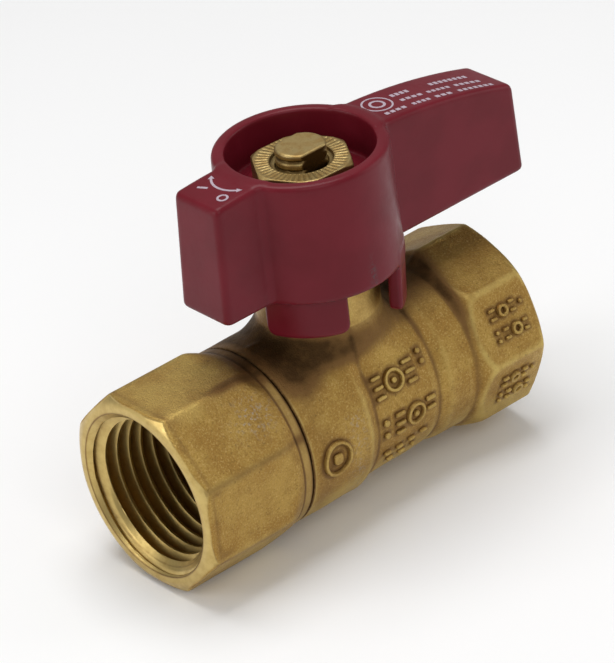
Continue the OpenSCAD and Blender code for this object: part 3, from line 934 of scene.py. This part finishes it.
def stem_shape(x, y, z):
    u = x - STEM_X
    radial, angle = np.hypot(u, y), np.arctan2(y, u)
    top = blend_max(radial - STEM_R, z - STEM_TOP, 0.35)
    phase = np.mod(z / STEM_PITCH - angle / (2 * math.pi) + 0.35, 1.0)
    cut = 0.34 * np.clip(1 - np.abs(phase - 0.5) / 0.3, 0, 1) * ease((z - 29.2) / 0.6)
    top = np.maximum(top, (radial - STEM_R + cut) * 0.8)
    top = blend_max(top, np.abs(y) - 2.5, 0.2)
    top = np.maximum(top, 20 - z)
    shank = blend_max(radial - SHANK_R, z - HUB_BOTTOM, 0.3)
    shank = np.maximum(shank, 9.1 - z)
    for centre in O_RING_HEIGHTS:
        groove = np.maximum(np.abs(z - centre) - 0.9, 2.6 - radial)
        shank = blend_max(shank, -groove, 0.15)
    collar = blend_max(radial - 4.9, np.abs(z - 9.84) - 0.74, 0.25)
    tang = blend_max(np.abs(u) - 1.5, radial - 4.2, 0.25)
    tang = blend_max(tang, blend_max(5.9 - z, z - 10, 0.1), 0.25)
    return np.minimum(np.minimum(top, shank), np.minimum(collar, tang))


def build_stem():
    points, quads = surface_net(stem_shape, (STEM_X - 5.4, -5.4, 5.4), (STEM_X + 5.4, 5.4, 35.4),
                                0.14 * COARSER)
    stem = make_object("threaded_stem", points, quads, TURNED, 50)
    x, y, z = vertex_mm(stem).T
    radial = np.hypot(x - STEM_X, y)
    # Painted shade: the stem's flats and its thread groove above the hub are darkened.
    flat = 0.95 * ease((np.abs(y) - 2.35) / 0.1) * (z < STEM_TOP - 0.25)
    groove = 0.8 * ease((3.08 - radial) / 0.12) * (z < STEM_TOP - 0.3)
    paint_attribute(stem, "stain_and_shade", np.maximum(flat, groove) * (z > HUB_TOP))
    return place(stem, "operator", "brass_turned", "stem")


# ---------------------------------------------------------------- inner pieces

BALL_R = 8.8


def ball_shape(x, y, z):
    u = x - STEM_X
    d = np.sqrt(u * u + y * y + z * z) - BALL_R
    d = blend_max(d, PORT_R - np.hypot(y, z), 0.35)
    slot = np.maximum(np.abs(u) - 1.6, 5.7 - z)
    return blend_max(d, -slot, 0.2)


def square_section(inner, outer, start, end):
    """Corners of a ring's section with four square sides."""
    return [(inner, start), (outer, start), (outer, end), (inner, end)]


def build_inner_pieces():
    points, quads = surface_net(ball_shape, (STEM_X - 9.4, -9.4, -9.4), (STEM_X + 9.4, 9.4, 9.4),
                                0.24 * COARSER)
    ball = make_object("bored_ball", points, quads, PLATING, 40)
    place(ball, "bored_ball", "ball_plating", "ball")
    contact_r = 0.8 * BALL_R
    contact_x = math.sqrt(BALL_R ** 2 - contact_r ** 2)
    slope = contact_r / contact_x
    bore, outer, gap, front = PORT_R + 0.05, 8.4, 0.1, STEM_X - 4.4
    section = [
        (bore, SEAT_BACK), (outer, SEAT_BACK), (outer, front),
        (contact_r + (front + gap - STEM_X + contact_x) / slope, front),
        (bore, STEM_X - contact_x - gap - (contact_r - bore) * slope),
    ]
    inlet = turned_ring("inlet_seat", section, SEAT, "x", 160)
    place(inlet, "valve_body", "seat_plastic", "seat_ring_inlet")
    mirrored = [(r, 2 * STEM_X - x) for r, x in section]
    outlet = turned_ring("outlet_seat", mirrored, SEAT, "x", 160)
    place(outlet, "valve_body", "seat_plastic", "seat_ring_outlet")
    section = square_section(CAVITY_R + 0.05, JOINT_R, JOINT_END, JOINT_END + GASKET_THICK)
    gasket = turned_ring("joint_gasket", section, SEAT, "x", 160, 0.1)
    place(gasket, "valve_body", "seat_plastic", "body_gasket")
    washer = turned_ring("thrust_washer", square_section(4.1, 5.0, 10.6, WASHER_TOP), SEAT, "z", 96, 0.1)
    place(washer, "valve_body", "seat_plastic", "stem_thrust_washer")
    for side, height in zip(("lower", "upper"), O_RING_HEIGHTS):
        section = [(3.32 + 0.7 * math.cos(a), height + 0.7 * math.sin(a))
                   for a in np.linspace(0, 2 * math.pi, 16, endpoint=False)]
        ring = turned_ring(f"{side}_o_ring", section, RUBBER, "z", 96, 0.1)
        place(ring, "operator", "o_ring_rubber", f"stem_o_ring_{side}")


# ---------------------------------------------------------------- raised marks and print

def rounded_bar(half_long, half_wide, height, radius):
    """A low pad with a rounded outline and a sloping, softened rim, about its own centre."""
    rim = []
    for lift, inset in ((-0.25, 0.0), (0.0, 0.0), (0.55 * height, 0.05), (0.9 * height, 0.13),
                        (height, 0.24)):
        a, b = max(half_long - inset, 0.05), max(half_wide - inset, 0.05)
        r = min(radius, 0.95 * min(a, b))
        loop = []
        for cx, cy, start in ((a - r, b - r, 0), (r - a, b - r, 90), (r - a, r - b, 180),
                              (a - r, r - b, 270)):
            for t in range(0, 91, 18):
                q = math.radians(start + t)
                loop.append((cx + r * math.cos(q), cy + r * math.sin(q), lift))
        rim.append(loop)
    count = len(rim[0])
    points = [p for loop in rim for p in loop] + [(0, 0, height * 1.03), (0, 0, -0.25)]
    faces = []
    for k in range(len(rim) - 1):
        for j in range(count):
            a, b = k * count + j, k * count + (j + 1) % count
            faces.append([a, b, b + count, a + count])
    last = (len(rim) - 1) * count
    for j in range(count):
        faces.append([last + j, last + (j + 1) % count, len(points) - 2])
        faces.append([(j + 1) % count, j, len(points) - 1])
    return np.array(points), faces


def raised_ring(radius, half_wide, height, around=48):
    """A low ring with a rounded top, about its own centre."""
    section = [(-half_wide, -0.25), (-half_wide, 0.3 * height), (-0.5 * half_wide, height),
               (0.5 * half_wide, height), (half_wide, 0.3 * height), (half_wide, -0.25)]
    points, faces = [], []
    for k in range(around):
        a = 2 * math.pi * k / around
        for dr, h in section:
            points.append(((radius + dr) * math.cos(a), (radius + dr) * math.sin(a), h))
    n = len(section)
    for k in range(around):
        for j in range(n):
            a, b = k * n + j, k * n + (j + 1) % n
            c, d = ((k + 1) % around) * n + (j + 1) % n, ((k + 1) % around) * n + j
            faces.append([a, b, c, d])
    return np.array(points), faces


def join_parts(parts):
    """One list of points and faces from several."""
    points, faces, start = [], [], 0
    for p, f in parts:
        points.append(p)
        faces += [[v + start for v in face] for face in f]
        start += len(p)
    return np.concatenate(points), faces


def build_cast_marks():
    """Plain raised bars, dots and rings on the side of the forging, like lot marks."""
    parts, lifts = [], []

    def add(mark, lay):
        if len(mark) == 3:
            points, faces = raised_ring(mark[2], 0.3, MARK_HEIGHT)
        else:
            points, faces = rounded_bar(mark[2], mark[3], MARK_HEIGHT, 0.5)
        parts.append((lay(points), faces))
        lifts.append(points[:, 2])

    for mark in SIDE_MARKS:
        add(mark, lambda p: wrap_on_pipe(p, mark[0], mark[1]))
    for normal_angle in FLAT_NORMALS:
        for mark in FLAT_MARKS:
            add(mark, lambda p: lay_on_flat(p, mark[0], mark[1], normal_angle))
    points, faces = join_parts(parts)
    marks = make_object("forged_lot_marks", points, faces, BRASS, 60)
    face_outward(marks)
    lift = np.concatenate(lifts)
    paint_attribute(marks, "machined", np.full(len(lift), 0.1))
    # Painted light and shade: the raised marks are lighter on top, and darker at the base with some
    # grime.
    paint_attribute(marks, "wear", np.clip((lift - 0.2) / 0.2, 0, 0.5))
    paint_attribute(marks, "stain_and_shade", np.clip(0.6 - lift / 0.4, 0, 0.55))
    return place(marks, "valve_body", "brass_forged")


def strip(path, half_wide):
    """A thin printed line along points in the plane of the handle's top."""
    path = np.array(path, float)
    ahead = np.gradient(path, axis=0)
    side = np.stack([-ahead[:, 1], ahead[:, 0]], 1) / np.linalg.norm(ahead, axis=1)[:, None]
    left, right = path + half_wide * side, path - half_wide * side
    points = np.concatenate([left, right])
    n = len(path)
    return points, [[k, k + 1, n + k + 1, n + k] for k in range(n - 1)]


def arc(cx, cy, radius, start, end, steps=24):
    angles = np.radians(np.linspace(start, end, steps))
    return np.stack([cx + radius * np.cos(angles), cy + radius * np.sin(angles)], 1)


# Rows of print on the long arm, from and to in mm about the stem axis, half height, and
# the words of each row as shares of its length
PRINT_ROWS = [
    ((15.7, 1.15), (28.0, 0.75), 0.36, [(0, 0.24), (0.5, 1)]),
    ((15.7, -0.65), (28.4, -1.25), 0.3, [(0, 0.28), (0.33, 0.62), (0.67, 1)]),
    ((11.7, -2.3), (29.0, -2.95), 0.3, [(0, 0.2), (0.25, 0.42), (0.46, 0.62), (0.67, 1)]),
]


def build_print():
    """Worn white print on the arms: a turn arrow, a ring and rows of short dashes."""
    centre, radius = np.array([-9.75, -0.05]), 3.3
    parts = [strip(arc(*centre, radius, 136, 224), 0.15)]
    for angle, way in ((136, 1), (224, -1)):
        a = math.radians(angle)
        out = np.array([math.cos(a), math.sin(a)])
        along = way * np.array([math.sin(a), -math.cos(a)])
        tip = centre + radius * out
        parts.append((np.array([tip + 0.7 * along, tip + 0.4 * out, tip - 0.4 * out]), [[0, 1, 2]]))
    parts.append(strip([(-14.35, 2.2), (-13.75, 1.0)], 0.17))
    parts.append(strip(arc(-14.2, -2.2, 0.6, 0, 360), 0.14))
    parts.append(strip(arc(13.0, 0.5, 1.9, 0, 360, 48), 0.12))
    parts.append(strip(arc(13.0, 0.5, 0.9, 0, 360, 32), 0.17))
    for start, end, tall, words in PRINT_ROWS:
        way = np.subtract(end, start)
        for a, b in words:
            count = max(round((b - a) * np.linalg.norm(way) / 0.8), 1)
            for k in range(count):
                near, far = (a + (b - a) * (k + t) / count for t in (0.12, 0.8))
                dash = [np.add(start, way * (near + (far - near) * t)) for t in (0, 0.5, 1)]
                parts.append(strip(dash, tall))
    lifted = []
    for p, f in parts:
        top = np.stack([STEM_X + p[:, 0], p[:, 1], arm_top(p[:, 0]) + 0.035], 1)
        under = top - [0, 0, 0.06]
        n = len(p)
        rim = {}
        for face in f:
            for k, v in enumerate(face):
                w = face[(k + 1) % len(face)]
                rim[(v, w)] = (w, v) not in rim and (v, w) not in rim
                if (w, v) in rim:
                    rim[(w, v)] = rim[(v, w)] = False
        sides = [[v, w, w + n, v + n] for (v, w), edge in rim.items() if edge]
        faces = [list(face) for face in f] + [[v + n for v in reversed(face)] for face in f] + sides
        lifted.append((np.concatenate([top, under]), faces))
    points, faces = join_parts(lifted)
    marks = make_object("handle_print", points, faces, PRINT, 30)
    face_outward(marks)
    return place(marks, "operator", "handle_paint")


# ---------------------------------------------------------------- stage, light and camera

def build_stage():
    bpy.ops.mesh.primitive_plane_add(size=6, location=(STEM_X * MM, 0, FLOOR_Z * MM))
    ground = bpy.context.active_object
    ground.name = "floor"
    ground.data.materials.append(floor_material("pale_floor"))
    world = bpy.data.worlds.new("studio")
    bpy.context.scene.world = world
    world.use_nodes = True
    world.node_tree.nodes["Background"].inputs["Color"].default_value = rgba(1, 1, 1)
    world.node_tree.nodes["Background"].inputs["Strength"].default_value = 0.33


def area_light(name, place_mm, aim_mm, size_mm, power):
    """A soft rectangular light at place_mm that faces aim_mm."""
    light = bpy.data.lights.new(name, "AREA")
    light.shape = "RECTANGLE"
    light.size, light.size_y = size_mm[0] * MM, size_mm[1] * MM
    light.energy = power
    lamp = bpy.data.objects.new(name, light)
    bpy.context.scene.collection.objects.link(lamp)
    lamp.location = Vector(place_mm) * MM
    way = (Vector(aim_mm) - Vector(place_mm)).normalized()
    lamp.rotation_mode = "QUATERNION"
    lamp.rotation_quaternion = way.to_track_quat("-Z", "Y")


def build_lights():
    aim = (30, 0, 10)
    area_light("key", (-120, -330, 260), aim, (260, 260), 0.335)
    area_light("fill", (330, -180, 120), aim, (220, 220), 0.22)
    area_light("top", (40, 60, 420), aim, (300, 300), 1.12)
    area_light("side", (-300, 120, 140), aim, (200, 200), 0.3)


CAMERA_AZIMUTH = -38.431
CAMERA_ELEVATION = 30.523
CAMERA_ROLL = -6.769
CAMERA_DISTANCE = 500.0
CAMERA_SIDE = -2.62
CAMERA_RISE = 7.5
LENS = 237.0


def build_camera():
    a, e, r = (math.radians(v) for v in (CAMERA_AZIMUTH, CAMERA_ELEVATION, CAMERA_ROLL))
    back = Vector((math.sin(a) * math.cos(e), -math.cos(a) * math.cos(e), math.sin(e)))
    level = Vector((math.cos(a), math.sin(a), 0))
    rise = back.cross(level)
    right = level * math.cos(r) + rise * math.sin(r)
    up = rise * math.cos(r) - level * math.sin(r)
    camera = bpy.data.cameras.new("camera")
    camera.sensor_fit = "HORIZONTAL"
    camera.sensor_width = 36.0
    camera.lens = LENS
    camera.clip_start, camera.clip_end = 0.01, 20
    eye = bpy.data.objects.new("camera", camera)
    bpy.context.scene.collection.objects.link(eye)
    place_mm = Vector((STEM_X, 0, 0)) + back * CAMERA_DISTANCE + right * CAMERA_SIDE + up * CAMERA_RISE
    turn = Matrix((right, up, back)).transposed().to_4x4()
    eye.matrix_world = Matrix.Translation(place_mm * MM) @ turn
    bpy.context.scene.camera = eye


build_body()
build_end_piece()
build_handle()
build_nut()
build_stem()
build_inner_pieces()
build_cast_marks()
build_print()
build_stage()
build_lights()
build_camera()
bpy.context.scene.view_settings.view_transform = "Standard"
